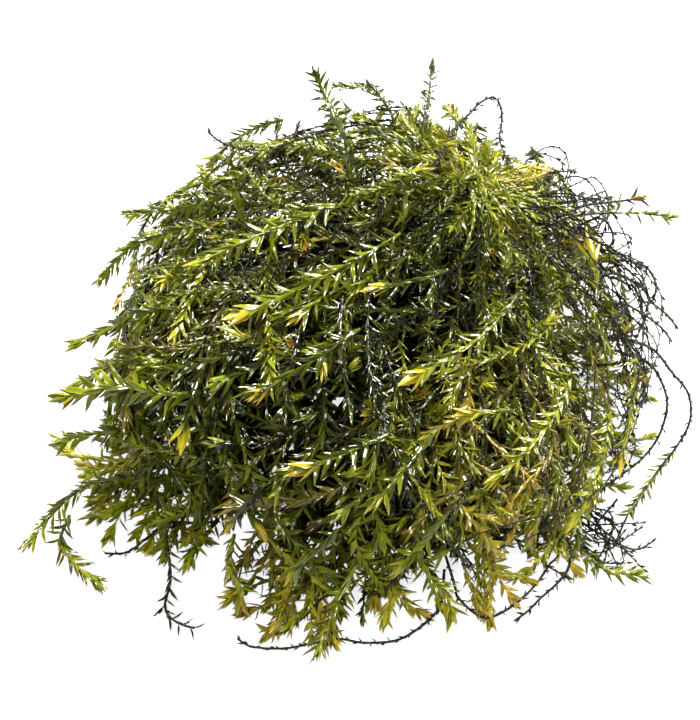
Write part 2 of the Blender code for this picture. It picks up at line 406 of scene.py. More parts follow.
def colour_mix(group, factor, first, second, blend="MIX"):
    """Two colours mixed or multiplied."""
    node = group.nodes.new("ShaderNodeMix")
    node.data_type, node.blend_type = "RGBA", blend
    for number, value in ((0, factor), (6, first), (7, second)):
        feed(group.links, node.inputs[number], value)
    return node.outputs[2]


print("node makers ready")

# %% The tissue node group
def shaded(group, colour, stops, place):
    """The colour multiplied by a ramp at this place."""
    shade = ramp(group.nodes, stops)
    group.links.new(place, shade.inputs[0])
    return colour_mix(group, 1.0, colour, shade.outputs[0], "MULTIPLY")


def tissue_colour(group, tone, along, across, kind):
    """The colour of each kind of tissue at this tone, this far along the leaf and out to its edge."""
    colours = []
    for stops, way in ((FRESH, UP_A_LEAF), (OLD, UP_A_LEAF), (BUD, UP_A_BUD), (BARK, None)):
        hue = ramp(group.nodes, stops)
        group.links.new(tone, hue.inputs[0])
        colour = hue.outputs[0]
        if way:
            colour = shaded(group, colour, way, along)
            # the leaf's edges get their painted highlight here
            colour = shaded(group, colour, ACROSS_A_LEAF_PAINTED_LIGHT, across)
        colours.append(colour)
    chosen = colours[0]
    for number in (1, 2, 3):
        past = sum_node(group, "GREATER_THAN", kind, number - 0.5)
        chosen = colour_mix(group, past, chosen, colours[number])
    return chosen


def tissue_relief(group, tone, along, across):
    """The normal of a leaf with shallow troughs beside its keel and waves along it."""
    shift = sum_node(group, "MULTIPLY", tone, WAVE_SHIFT)
    waves = sum_node(group, "SINE", sum_node(group, "MULTIPLY_ADD", along, WAVE_TURNS, shift))
    troughs = sum_node(group, "SINE", sum_node(group, "MULTIPLY", across, TROUGH_TURNS))
    bump = group.nodes.new("ShaderNodeBump")
    bump.inputs["Distance"].default_value = MM
    height = sum_node(group, "MULTIPLY_ADD", troughs, TROUGH, sum_node(group, "MULTIPLY", waves, WAVE))
    group.links.new(height, bump.inputs["Height"])
    return bump.outputs[0]


def tissue_group():
    """Colour, roughness and relief for a place on the leaves' map."""
    group = bpy.data.node_groups.new("moss_tissue", "ShaderNodeTree")
    for name, in_out, kind in (
        ("Map", "INPUT", "Vector"), ("Lightness", "INPUT", "Float"), ("Dullness", "INPUT", "Float"),
        ("Color", "OUTPUT", "Color"), ("Roughness", "OUTPUT", "Float"), ("Normal", "OUTPUT", "Vector"),
    ):
        group.interface.new_socket(name, in_out=in_out, socket_type=f"NodeSocket{kind}")
    entry, way_out = group.nodes.new("NodeGroupInput"), group.nodes.new("NodeGroupOutput")
    split = group.nodes.new("ShaderNodeSeparateXYZ")
    group.links.new(entry.outputs["Map"], split.inputs[0])
    quarters = sum_node(group, "MULTIPLY", split.outputs[1], float(len(KINDS)))
    along, kind = sum_node(group, "FRACT", quarters), sum_node(group, "FLOOR", quarters)
    columns = sum_node(group, "MULTIPLY", split.outputs[0], float(TONE_STEPS))
    tone = sum_node(group, "DIVIDE", sum_node(group, "FLOOR", columns), float(TONE_STEPS))
    side = sum_node(group, "MULTIPLY_ADD", sum_node(group, "FRACT", columns), 2.0, -1.0)
    across = sum_node(group, "ABSOLUTE", side)
    colour = tissue_colour(group, tone, along, across, kind)
    nerves = sum_node(group, "SINE", sum_node(group, "MULTIPLY", side, 2.0 * math.pi * NERVES))
    shade = sum_node(group, "MULTIPLY_ADD", nerves, NERVE_SHADE, 1.0)
    shade = sum_node(group, "MULTIPLY", shade, entry.outputs["Lightness"])
    tint = group.nodes.new("ShaderNodeCombineColor")
    for socket in tint.inputs:
        group.links.new(shade, socket)
    lit = colour_mix(group, 1.0, colour, tint.outputs[0], "MULTIPLY")
    dullness = sum_node(group, "MULTIPLY_ADD", nerves, NERVE_DULLNESS, entry.outputs["Dullness"])
    group.links.new(lit, way_out.inputs["Color"])
    group.links.new(dullness, way_out.inputs["Roughness"])
    group.links.new(tissue_relief(group, tone, along, across), way_out.inputs["Normal"])
    return group


TISSUE = tissue_group()
print("tissue group has", len(TISSUE.nodes), "nodes")

# %% [markdown]
# ## Wet finishes
# A film of water makes a leaf shine, so a wet leaf has a sharp glint where a dry one is dull. Each
# material places the group with its own lightness and dullness: leafy shoots, the mat below them,
# the less wet leaves low on the left, the thin leaves at the foot, which let some light through,
# the leaves deep inside, whose low lightness is painted shade, and the wiry bare stems.

# %% Materials
GLOW_COLOUR = (1.0, 0.85, 0.2)
GLOW_REACH = 0.8 * MM


def wet_moss(name, lightness, shine, dullness, glow=0.0):
    """A wet moss material: the tissue's colour, how much and how sharply it shines, and its glow."""
    material = bpy.data.materials.new(name)
    material.use_nodes = True
    nodes, links = material.node_tree.nodes, material.node_tree.links
    shader = nodes["Principled BSDF"]
    chart = nodes.new("ShaderNodeUVMap")
    chart.uv_map = "OFBake"
    tissue = nodes.new("ShaderNodeGroup")
    tissue.node_tree = TISSUE
    tissue.inputs["Lightness"].default_value = lightness
    tissue.inputs["Dullness"].default_value = dullness
    links.new(chart.outputs[0], tissue.inputs["Map"])
    for output, socket in (("Color", "Base Color"), ("Roughness", "Roughness"), ("Normal", "Normal")):
        links.new(tissue.outputs[output], shader.inputs[socket])
    shader.inputs["Specular IOR Level"].default_value = shine
    shader.inputs["Subsurface Weight"].default_value = glow
    shader.inputs["Subsurface Radius"].default_value = GLOW_COLOUR
    shader.inputs["Subsurface Scale"].default_value = GLOW_REACH
    return material


wet_leaf = wet_moss("wet_leaf", 0.92, shine=0.72, dullness=0.15)
mat_leaf = wet_moss("mat_leaf", 0.86, shine=0.70, dullness=0.16)
low_leaf = wet_moss("low_leaf", 0.98, shine=0.26, dullness=0.18)
foot_leaf = wet_moss("foot_leaf", 1.1, shine=0.22, dullness=0.18, glow=0.35)
# the leaves deep inside get a lightness of 0.3 as painted shade
deep_leaf_painted_shade = wet_moss("deep_leaf_painted_shade", 0.3, shine=0.10, dullness=0.36)
wiry_stem = wet_moss("wiry_stem", 1.0, shine=0.40, dullness=0.24)
print("materials made:", len(bpy.data.materials))

# %% [markdown]
# ## Growing one shoot
# Moss leaves stand in three ranks up the stem. We walk up the stem in even steps and set a leaf
# at each, a third of a turn on from the last. The rank on top lies close along the stem, so that
# the lit stem shows between the two side ranks. The end is a tight pointed bud of young leaves.

# %% Routes
CURVE_STEPS, FINE_STEP = 24, 0.5


def evenly(route, step):
    """The route again, with points every step millimetres."""
    lengths = np.linalg.norm(np.diff(route, axis=0), axis=1)
    travelled = np.concatenate([[0.0], np.cumsum(lengths)])
    count = max(3, int(round(travelled[-1] / step)) + 1)
    wanted = np.linspace(0.0, travelled[-1], count)
    return np.stack([np.interp(wanted, travelled, route[:, i]) for i in range(3)], axis=1)


def through(points):
    """A smooth close route through a few points in millimetres."""
    points = np.asarray(points, float)
    ends = np.vstack([2 * points[0] - points[1], points, 2 * points[-1] - points[-2]])
    t = np.linspace(0, 1, CURVE_STEPS, endpoint=False)[:, None]
    runs = []
    for a, b, c, d in zip(ends, ends[1:], ends[2:], ends[3:]):
        curve = 2 * b + (c - a) * t + (2 * a - 5 * b + 4 * c - d) * t**2 + (3 * b - a - 3 * c + d) * t**3
        runs.append(0.5 * curve)
    return np.vstack([*runs, points[-1:]])


def trimmed(route, root, tip):
    """The route without this many millimetres at its root and tip."""
    fine = evenly(route, FINE_STEP)
    return fine[int(root / FINE_STEP) : len(fine) - int(tip / FINE_STEP)]


print("a straight 10 mm route has", len(evenly(np.array([[0, 0, 0], [10.0, 0, 0]]), 1.0)), "points")

# %% Stems
STEM_OVERLAP = 0.06
# the upper side of every stem faces up and a little to the front
UPWARDS = np.array([0.0, -0.15, 1.0])


def stem_along(sheaf, shape, route, radii, tones, step=2.0):
    """Internodes end to end along the route. radii and tones are (root, tip) pairs."""
    points = evenly(route, step)
    gaps = np.diff(points, axis=0)
    lengths = np.linalg.norm(gaps, axis=1)
    along = unit(gaps)
    up = unit(np.broadcast_to([0.1, -0.2, 1.0], along.shape))
    share = np.linspace(0, 1, len(gaps))
    radius = radii[0] + (radii[1] - radii[0]) * share
    tone = tones[0] + (tones[1] - tones[0]) * share
    foot = points[:-1] - along * STEM_OVERLAP
    lay(sheaf, shape, foot, along, up, lengths + 2 * STEM_OVERLAP, radius, 0.0, tone, "stem")


def frames(points):
    """Along each stem point: its tangent, the way up from the mound, and the way across."""
    tangents = unit(np.gradient(points, axis=0))
    above = unit(0.6 * unit(points - CENTRE) + UPWARDS)
    above = unit(above - (above * tangents).sum(1, keepdims=True) * tangents)
    return tangents, above, np.cross(tangents, above)


print("stem helpers ready")

# %% Leaves up a stem
RANKS = np.array([0.0, 108.0, -108.0])
TOP_RANK_SPREAD, TOP_RANK_WIDTH = 0.55, 0.9
# a shoot's lean and twist, and the jitter of each leaf's turn and opening, in degrees
LEAN, TWIST, TURN_JITTER, OPEN_JITTER = 18, 25.0, 17, 10
TILT_JITTER, TONE_JITTER = 0.35, 0.06
LEAF_BEND, BEND_JITTER = 0.03, 0.07
LEAF_OFFSET = 0.2


def opened_out(turn, opened, onward, above, beside):
    """Leaves at these turns round the stem, opened from it: ways out, along and up each leaf."""
    out = np.cos(turn)[:, None] * above + np.sin(turn)[:, None] * beside
    along = np.cos(opened)[:, None] * onward + np.sin(opened)[:, None] * out
    return out, along, np.sin(opened)[:, None] * onward - np.cos(opened)[:, None] * out


def leaves_up(sheaf, shape, route, leaf, width, spacing, spread, tones, kind="leaf", start=0.0):
    """Three ranks of leaves. leaf, spread and tones are (root, tip) pairs in mm, degrees and tone."""
    points = evenly(route, spacing)
    points = points[int(start * len(points)) :]
    count = len(points)
    if count < 3:
        return
    tangents, above, beside = frames(points)
    share = np.linspace(start, 1, count)
    rank = np.arange(count) % 3
    lean = dice.normal(0, LEAN) + TWIST * np.sin(share * 5.0 + dice.uniform(0, 6.3))
    turn = np.radians(RANKS[rank] + lean + dice.normal(0, TURN_JITTER, count))
    opened = spread[0] + (spread[1] - spread[0]) * share**1.5 + dice.normal(0, OPEN_JITTER, count)
    opened = np.radians(np.where(rank == 0, opened * TOP_RANK_SPREAD, opened))
    out, along, inner = opened_out(turn, opened, tangents, above, beside)
    up = unit(inner + dice.normal(0, TILT_JITTER, count)[:, None] * np.cross(along, inner))
    length = (leaf[0] + (leaf[1] - leaf[0]) * share) * dice.uniform(0.78, 1.15, count)
    half_width = length * width * dice.uniform(0.85, 1.15, count)
    half_width = np.where(rank == 0, half_width * TOP_RANK_WIDTH, half_width)
    tone = tones[0] + (tones[1] - tones[0]) * share + dice.normal(0, TONE_JITTER, count)
    bend = dice.normal(LEAF_BEND, BEND_JITTER, count)
    lay(sheaf, shape, points + out * LEAF_OFFSET, along, up, length, half_width, bend, tone, kind)


print("ranks of leaves ready")

# %% Buds
BUD_LEAVES = 6
GOLDEN_ANGLE = 137.5


def bud_at(sheaf, shape, route, leaf, width, tone, kind):
    """A pointed bud: young leaves wrapped close round the stem's end, the outer ones flaring."""
    tip, before = route[-1], evenly(route, FINE_STEP)[-4]
    forward = unit(tip - before)
    above = unit(UPWARDS - forward * np.dot(forward, UPWARDS))
    beside = np.cross(forward, above)
    turn = np.radians(GOLDEN_ANGLE * np.arange(BUD_LEAVES) + dice.uniform(0, 360))
    opened = np.radians(np.linspace(30, 5, BUD_LEAVES) + dice.normal(0, 3, BUD_LEAVES))
    out, along, inner = opened_out(turn, opened, forward, above, beside)
    length = leaf * dice.uniform(0.8, 1.05, BUD_LEAVES)
    foot = tip - forward * np.linspace(2.0, 0.3, BUD_LEAVES)[:, None] + out * 0.25
    tones = tone + dice.normal(0, 0.07, BUD_LEAVES)
    lay(sheaf, shape, foot, along, inner, length, length * width, LEAF_BEND, tones, kind)


print("buds ready")

# %% A whole shoot
def shoot(sheaf, route, leaf=(4.6, 5.2), width=0.095, spacing=0.85, spread=(54, 34), tones=(0.25, 0.5),
          bud="bud", bud_tone=0.5, bud_leaf=5.6, bud_width=0.13, shapes=("lance", "broad"), stem="stem",
          stem_radii=(0.42, 0.26), stem_tones=(0.45, 0.85), kind="leaf"):
    """A leafy shoot along a route: its stem, its three ranks of leaves and its bud."""
    stem_along(sheaf, stem, route, stem_radii, stem_tones)
    leaves_up(sheaf, shapes[0], route, leaf, width, spacing, spread, tones, kind)
    if bud:
        bud_at(sheaf, shapes[1], route, bud_leaf, bud_width, bud_tone, bud)


trial = new_sheaf()
shoot(trial, through([(0, 0, 0), (10, 0, 2), (20, 0, 0)]))
print("a 20 mm shoot has", sum(len(rows) for rows in trial["lance"]), "leaves")

# %% [markdown]
# ## How the moss changes from place to place
# The shoots aren't alike: long glossy leaves at the front and left, fine ones to the right and
# behind, and broad thin ones at the foot where the water was still. A table gives the look of the
# moss at a few places on the mound, and every shoot takes a blend of the looks near its tip.

# %% The moss from place to place
LEAF, WIDTH, SPACING, SPREAD, TONE, BUDS, BREADTH = range(7)
HABITS = [
    # direction              leaf width spacing spread tone buds breadth
    ((-0.60, -0.25, 0.75), (5.0, 0.120, 0.85, 52, 0.50, 0.30, 0.0)),
    ((-0.94, 0.00, 0.34), (3.4, 0.115, 0.70, 48, 0.40, 0.12, 0.0)),
    ((0.00, -0.35, 0.94), (4.4, 0.110, 0.78, 50, 0.23, 0.18, 0.0)),
    ((0.54, -0.12, 0.83), (3.1, 0.110, 0.62, 46, 0.27, 0.06, 0.0)),
    ((0.50, -0.40, 0.70), (3.8, 0.120, 0.72, 50, 0.46, 0.14, 0.0)),
    ((0.44, -0.74, 0.50), (3.9, 0.130, 0.76, 52, 0.60, 0.26, 0.3)),
    ((0.92, -0.15, 0.40), (2.6, 0.115, 0.58, 46, 0.52, 0.10, 0.0)),
    ((0.50, 0.46, 0.72), (3.2, 0.125, 0.62, 50, 0.67, 0.20, 0.2)),
    ((0.30, 0.85, 0.40), (3.2, 0.120, 0.66, 48, 0.56, 0.15, 0.2)),
    ((-0.10, 0.45, 0.88), (3.7, 0.120, 0.68, 48, 0.34, 0.12, 0.0)),
    ((-0.50, 0.60, 0.60), (3.3, 0.115, 0.66, 46, 0.42, 0.10, 0.0)),
    ((-0.10, -0.95, 0.25), (4.8, 0.140, 0.90, 52, 0.33, 0.28, 0.4)),
    ((0.50, -0.80, 0.20), (3.8, 0.150, 0.80, 52, 0.66, 0.28, 0.6)),
    ((0.82, -0.50, 0.10), (2.9, 0.125, 0.66, 50, 0.56, 0.15, 0.4)),
    ((0.00, -0.98, -0.20), (4.4, 0.190, 1.00, 55, 0.60, 0.25, 1.0)),
    ((-0.62, -0.74, 0.25), (4.6, 0.135, 0.92, 55, 0.10, 0.20, 0.2)),
    ((-0.90, -0.40, -0.15), (4.7, 0.155, 0.95, 55, 0.48, 0.25, 0.8)),
    ((0.70, -0.70, -0.15), (4.0, 0.180, 0.95, 52, 0.62, 0.20, 1.0)),
    ((0.00, 1.00, -0.05), (4.0, 0.140, 0.90, 50, 0.45, 0.15, 0.6)),
]
HABIT_WAYS = unit(np.array([way for way, _ in HABITS]))
HABIT_LOOKS = np.array([looks for _, looks in HABITS])
HABIT_TIGHTNESS = 16.0


def habit(place):
    """The blend of looks at this place."""
    weights = np.exp(HABIT_TIGHTNESS * (HABIT_WAYS @ unit(place - CENTRE) - 1.0))
    return weights @ HABIT_LOOKS / weights.sum()


for side, place in (("left", (-50.0, 0.0, 40.0)), ("right", (55.0, 0.0, 30.0))):
    print("leaves on the", side, "are", habit(np.array(place))[LEAF].round(1), "mm long")

# %% [markdown]
# ## Draped shoots
# These lie over the mound from near the crown towards its rim. Each follows its solid's line: two
# angles at its start and two at its end, lifted clear of the mat by the reach of its leaves.

# %% Draped shoots
DRAPED_SHOOTS = [
    (207, 200, 36, 72), (236, 218, 30, 70), (246, 234, 54, 80), (262, 240, 32, 46), (292, 263, 34, 59),
    (290, 277, 59, 63), (264, 250, 71, 86), (246, 243, 92, 108), (220, 226, 80, 98), (274, 267, 68, 88),
    (306, 289, 52, 76), (332, 352, 39, 30), (340, 327, 54, 76), (284, 280, 84, 104), (263, 258, 94, 112),
    (20, 16, 44, 68), (156, 152, 84, 106), (320, 311, 60, 84), (146, 141, 52, 80), (122, 112, 48, 82),
    (82, 74, 42, 70), (62, 58, 38, 60),
]


def over_mound(start_compass, end_compass, start_fall, end_fall, lift=3.0):
    """A route down the mound's surface, this far above it."""
    share = np.linspace(0, 1, 40)
    compass = start_compass + (end_compass - start_compass) * share
    ways = from_crown(compass, start_fall + (end_fall - start_fall) * share)
    route = CENTRE + ways * (mound_radius(ways) + lift)[:, None]
    route[:, 2] = np.maximum(route[:, 2], 2.2)
    return route


BUD_LENGTH = 4.0
GOLDEN = dict(
    leaf=(3.6, 5.0), width=0.13, spacing=1.5, spread=(34, 16), tones=(0.40, 0.72), bud_leaf=8.5,
    bud_tone=0.68, stem_tones=(0.2, 0.4),
)
PLUMP = dict(bud_leaf=7.2, bud_width=0.17, bud_tone=0.62)
SPECIAL = {**dict.fromkeys((2, 5, 7, 9), PLUMP), 12: GOLDEN}
for number, angles in enumerate(DRAPED_SHOOTS, start=1):
    name = f"draped_shoot_{number:02d}"
    sheaf = new_sheaf()
    route = trimmed(over_mound(*angles), 0.0, BUD_LENGTH)
    local = habit(route[-1])
    looks = dict(
        leaf=(local[LEAF], local[LEAF] + 0.4), width=local[WIDTH], spacing=local[SPACING],
        tones=(local[TONE] - 0.08, local[TONE] + 0.10), bud_tone=dice.uniform(0.3, 0.8),
    )
    shoot(sheaf, route, **(looks | SPECIAL.get(number, {})))
    finish_piece(name + "_leaves", sheaf, [name], wet_leaf)
print("draped shoots:", len(DRAPED_SHOOTS))

# %% [markdown]
# ## Free shoots
# These leave the mound: up from the crown, out to the left and right, or along the ground. Each
# passes the same few points as its solid, in millimetres, and like its solid it keeps clear of the
# mound. Its root runs on into the mat, so that it grows out of the tangle and not off its surface.

# %% Free shoots
LEAFY_SHOOTS = {
    "crown_shoot_left": [(-7, 21, 67), (-9, 31, 64), (-11, 38, 63.5), (-14, 42, 69)],
    "crown_shoot_arched": [(2.5, 35, 64), (-1, 42, 63), (-5, 46, 59.5), (-10.5, 46.5, 59)],
    "crown_shoot_right": [(11, 32, 65), (12, 41, 62), (12.5, 46, 62.5), (13, 49, 64.5)],
    "left_shoot_high": [(-35, 17, 54), (-43, 19, 48), (-50, 21, 45), (-57, 22, 42.5)],
    "left_shoot_upper": [(-42, 10, 51), (-53, 9, 47), (-58, 8, 42), (-62, 7, 36)],
    "left_shoot_middle": [(-48, -11, 46), (-56, -8.5, 40.5), (-62, -6.5, 34), (-68, -7, 31)],
    "left_shoot_short": [(-53, -19, 40.5), (-59, -16, 34.5), (-63.5, -14.5, 29), (-67, -16, 27)],
    "left_shoot_golden": [(-48, -28, 41), (-55, -26, 40), (-62, -24, 36), (-69.5, -25, 34)],
    "left_shoot_small": [(-59, -26, 24.5), (-65, -27, 24), (-71, -28, 22.5)],
    "left_shoot_trailing": [(-58, -32, 15), (-64, -33, 14), (-70, -36, 10), (-78, -43, 4)],
    "left_shoot_fork": [(-69, -43, 4), (-66, -47, 4), (-63, -50, 4), (-59, -53, 4)],
    "front_shoot_far_left": [(-46, -43, 7), (-45, -50, 3), (-46, -57, 2), (-43, -61, 2), (-37, -63, 2)],
    "front_shoot_left": [(-28, -48, 10), (-29, -53, 5.5), (-30, -60, 3.6)],
    "front_shoot_middle": [(-7, -55, 10), (-9, -61, 7), (-11, -66, 6), (-13, -72, 4)],
    "front_shoot_right": [(12, -51, 10), (15, -57, 7), (17, -63, 5)],
    "right_shoot_ground": [(41, -41, 9), (45, -45, 6.5), (50, -48, 4), (60, -50, 3.8)],
    "right_shoot_upper": [(48, 22, 46), (53, 26, 42.5), (57, 28, 41), (62, 28, 42.5)],
    "right_shoot_long": [(44, 14, 51), (50, 17, 48.5), (58, 18, 47.5), (68, 18, 46)],
    "back_shoot_far_left": [(-42, 38, 20), (-49, 45, 9), (-56, 52, 4)],
    "back_shoot_left": [(-12, 55, 16), (-14, 61, 7), (-17, 66, 4)],
    "back_shoot_right": [(17, 55, 14), (21, 60, 6), (27, 64, 4)],
    "back_shoot_far_right": [(41, 41, 14), (47, 48, 6), (54, 54, 4)],
}
CLEARANCE = 0.8


def clear_of_mound(route, reach):
    """The route, moved out of the mound until leaves of this reach are clear of it."""
    outward = route - CENTRE
    distance = np.linalg.norm(outward, axis=1)
    ways = outward / distance[:, None]
    clear = CENTRE + ways * np.maximum(distance, mound_radius(ways) + CLEARANCE + reach)[:, None]
    clear[:, 2] = np.maximum(clear[:, 2], 1.0)
    return clear


def rooted(route, back=7.0, down=6.0):
    """The route with a root that curves back into the mat."""
    start, onward = route[0], unit(route[3] - route[0])
    inward = unit(CENTRE - start)
    root = start - onward * back + inward * down
    between = start - onward * 0.4 * back + inward * 0.15 * down
    return np.vstack([through([root, between, start])[:-1], route])


print("free shoots to grow:", len(LEAFY_SHOOTS))

# %% How the free shoots differ
USUAL = dict(leaf=(4.2, 4.6), width=0.12, spacing=0.6, tones=(0.28, 0.54), bud_tone=0.2, bud_leaf=4.6)
SPARSE = dict(leaf=(3.2, 3.4), spacing=0.95, spread=(58, 46), bud_leaf=3.6, stem_radii=(0.42, 0.30))
UPRIGHT = dict(spread=(60, 50), stem_tones=(0.02, 0.2), bud="leaf")
BROAD = dict(leaf=(4.4, 4.8), width=0.16, shapes=("broad", "broad"))
SHOOT_LOOKS = {
    "right_shoot_upper": SPARSE | dict(tones=(0.02, 0.22), stem_tones=(0.02, 0.12), bud_tone=0.95),
    "right_shoot_long": SPARSE | dict(tones=(0.05, 0.55), stem_tones=(0.02, 0.4), bud_tone=0.1),
    "front_shoot_far_left": SPARSE | dict(tones=(0.45, 0.1), stem_tones=(0.3, 0.05), bud=None),
    "left_shoot_trailing": dict(leaf=(4.4, 4.8), tones=(0.26, 0.6), stem_tones=(0.08, 0.5), bud_tone=0.3),
    "left_shoot_fork": dict(leaf=(4.2, 4.8), tones=(0.50, 0.66), bud_tone=0.1),
    "left_shoot_golden": dict(
        leaf=(5.4, 6.0), width=0.14, spacing=0.8, tones=(0.4, 0.62), bud_tone=0.75, bud_leaf=5.6
    ),
    "crown_shoot_left": UPRIGHT | dict(
        leaf=(4.2, 3.6), spacing=0.45, spread=(62, 50), tones=(0.22, 0.40), bud_tone=0.40, bud_leaf=3.6
    ),
    "crown_shoot_arched": UPRIGHT | dict(
        leaf=(2.9, 2.7), width=0.15, spacing=0.5, tones=(0.18, 0.34), bud_tone=0.36, bud_leaf=3.2
    ),
    "crown_shoot_right": UPRIGHT | dict(
        leaf=(2.9, 2.7), width=0.13, spread=(52, 40), tones=(0.20, 0.36), bud_tone=0.36, bud_leaf=3.4
    ),
    "front_shoot_middle": BROAD | dict(tones=(0.5, 0.7)),
    "front_shoot_right": BROAD | dict(tones=(0.5, 0.72), bud_tone=0.5),
    "front_shoot_left": BROAD | dict(leaf=(4.0, 4.4), tones=(0.6, 0.85), bud_tone=0.8),
}
LEAF_REACH, BUD_REACH = 0.55, 0.7
for name, passes in LEAFY_SHOOTS.items():
    sheaf = new_sheaf()
    looks = USUAL | SHOOT_LOOKS.get(name, {})
    route = clear_of_mound(through(passes), LEAF_REACH * looks["leaf"][0])
    route = trimmed(route, 0.0, BUD_REACH * looks["bud_leaf"])
    shoot(sheaf, rooted(route), **looks)
    finish_piece(name + "_leaves", sheaf, [name], wet_leaf)
print("free shoots:", len(LEAFY_SHOOTS))

# %% [markdown]
# ## Bare stems
# Old stems lose their leaves and go black and wiry, with only stubs left where leaves stood.
# They arch out of the top, loop down the right side and trail over the ground in front.

# %% Bare stems
BARE_STEMS = {
    "bare_stem_upper_left": [(-29, 32, 53), (-32, 36, 50), (-35.5, 39, 49), (-38, 40, 51)],
    "bare_stem_top_loop": [
        (14, 17, 67), (17.5, 28, 64), (21, 38, 58.5), (24, 43, 57.5), (27, 44, 58),
        (28.5, 42, 56), (28.5, 39, 54), (27.5, 30, 57), (29, 21, 60)
    ],
    "bare_stem_small_loop": [
        (39, 9, 55), (38, 14, 54.5), (38.5, 22, 52.5), (40, 31, 48), (42, 31, 45),
        (44, 27, 44.5), (44.5, 24, 44.5)
    ],
    "bare_stem_right_arch": [
        (41, 6, 50.5), (43, 9, 50.5), (46, 10, 53), (49, 9, 55.5), (51, 8, 54), (52, 7, 51),
        (51.5, 7.5, 48)
    ],
    "bare_stem_right_hook": [
        (51, 8, 42.5), (55.5, 11, 39.5), (60.5, 11.5, 37), (62.5, 9.5, 35), (63, 8, 33.5),
        (62, 6, 31), (59.5, 6, 31.5)
    ],
    "bare_stem_right_stray": [
        (54, 3, 43.5), (59, 4, 38.5), (61.5, 3, 34.5), (65, 1, 32.5), (67.5, -1, 30)
    ],
    "bare_stem_right_low": [(56.5, 0, 36.5), (61, 0, 32.5), (64, -2, 31), (66, -4, 29)],
    "bare_stem_outer_arc": [
        (57, -8, 34), (61.5, -9, 32), (65.5, -12, 28), (69, -16, 25.5), (69.5, -20, 21),
        (67, -23, 16), (63, -26, 11), (59, -31, 8), (56, -36, 8)
    ],
    "bare_stem_inner_arc": [
        (61.5, -14, 31), (63.5, -17, 28), (64, -20, 25), (62.5, -23, 19), (59, -26, 15),
        (54, -30, 14), (48, -37, 17)
    ],
    "bare_stem_right_ground": [(50, -38, 3), (54, -39.5, 1.4), (58, -41, 1.4), (62, -38.5, 1.5)],
    "bare_stem_front_arc": [
        (16, -49, 4), (18, -54, 1.4), (23, -59, 1.3), (27, -58, 1.3), (32, -54, 1.3),
        (36, -49, 1.4), (40, -43, 3)
    ],
    "bare_stem_front_loop": [
        (43, -44, 3), (42, -47, 1.4), (39, -51, 1.4), (36, -54, 1.4), (33, -57.5, 1.4), (30, -60, 1.4)
    ],
    "bare_stem_front_long": [
        (13, -58, 1.4), (9, -62, 1.2), (4, -65, 1.1), (-3, -65.5, 1.1), (-8, -64.5, 1.1),
        (-13, -65.5, 1.1), (-20, -67, 1.1), (-27, -66.5, 1.1), (-30, -64.5, 1.1)
    ],
    "bare_stem_front_left": [(-11, -55, 5), (-15, -59, 2.5), (-19, -62, 1.4), (-22, -63.5, 1.2)],
    "bare_stem_left_ground": [(-50, -39, 4), (-53.5, -41, 2), (-56, -42, 1.4), (-60, -42, 1.4)],
}


STUB = dict(width=0.2, spread=(50, 38), tones=(0.02, 0.16), kind="old")


def wire(sheaf, route, radii=(0.36, 0.27), stub=1.6, spacing=1.0, stem="stem"):
    """A bare stem with the stubs of its old leaves."""
    stem_along(sheaf, stem, route, radii, STUB["tones"], step=1.4)
    leaves_up(sheaf, "plain", trimmed(route, 1.0, 1.0), (stub, stub * 1.2), spacing=spacing, **STUB)


# two of them still have leaves from this share of their length on
LEAFY_TAILS = {"bare_stem_outer_arc": 0.62, "bare_stem_small_loop": 0.7}
TAIL = dict(leaf=(2.4, 3.2), width=0.13, spacing=0.6, spread=(50, 40), tones=(0.4, 0.5))
for name, passes in BARE_STEMS.items():
    sheaf = new_sheaf()
    route = clear_of_mound(through(passes), 0.7)
    wire(sheaf, rooted(route, back=5.0, down=7.0))
    if name in LEAFY_TAILS:
        leaves_up(sheaf, "narrow", route, start=LEAFY_TAILS[name], **TAIL)
    finish_piece(name + "_wire", sheaf, [name], wiry_stem)
print("bare stems:", len(BARE_STEMS))

# %% [markdown]
# ## The mat
# The rest of the mound is a tangle of hundreds of shoots that all run down from the crown. Here
# and there, most of all at its foot, it opens into a small gap and the table shows through. Each
# gap is a short rod of air, and a leafy shoot whose outer half would enter one is left out.

# %% Gaps
GAPS = [
    # the rod's lower end, its upper end and its radius
    ((16.0, -45.0, 0.0), (16.0, -55.0, 12.0), 4.2), ((-33.0, -38.0, 0.0), (-33.0, -48.0, 13.0), 4.4),
    ((45.0, -30.0, 1.0), (45.0, -41.0, 14.0), 3.2), ((56.0, -4.0, 4.0), (56.0, -18.0, 26.0), 4.6),
    ((50.5, -20.0, 3.0), (50.5, -32.0, 18.0), 2.8), ((49.0, 23.0, 39.0), (56.0, 5.0, 31.0), 5.0),
    ((30.0, -42.0, 1.0), (30.0, -52.0, 12.0), 2.6),
]


def in_a_gap(route):
    """Whether the outer half of a route enters one of the gaps."""
    outer = route[len(route) // 2 :]
    for start, end, radius in GAPS:
        start, way = np.array(start), np.array(end) - np.array(start)
        share = np.clip((outer - start) @ way / (way @ way), 0, 1)
        if (np.linalg.norm(outer - start - share[:, None] * way, axis=1) < radius).any():
            return True
    return False


print("gaps:", len(GAPS))

# %% [markdown]
# ## Growing the mat
# Each shoot of the mat starts deep, works outwards as it falls and ends near the surface, so the
# shoots overlap like thatch. Some start on the far side of the crown and cross it. We grow them
# in layers, with fuller leaves where they can be seen and plain ones deeper, and the deeper
# layers' tone is lowered as painted shade. A layer is split into quarters and the low left of the
# front, whose leaves are less wet and have their own finish.

# %% Routes in the mat
WANDER = 4.0


def mat_route(compass, fall, length, depths, drift):
    """A route inside the mound that works outwards as it falls away from the crown."""
    share = np.linspace(0, 1, 24)
    wander = WANDER * np.sin(share * dice.uniform(3, 7) + dice.uniform(0, 6.3))
    ways = from_crown(compass + drift * share + wander, fall + length * share)
    depth = depths[0] + (depths[1] - depths[0]) * share**0.8
    route = CENTRE + ways * (mound_radius(ways) * depth)[:, None]
    route[:, 2] = np.maximum(route[:, 2], 1.6 + 1.2 * dice.random())
    return route


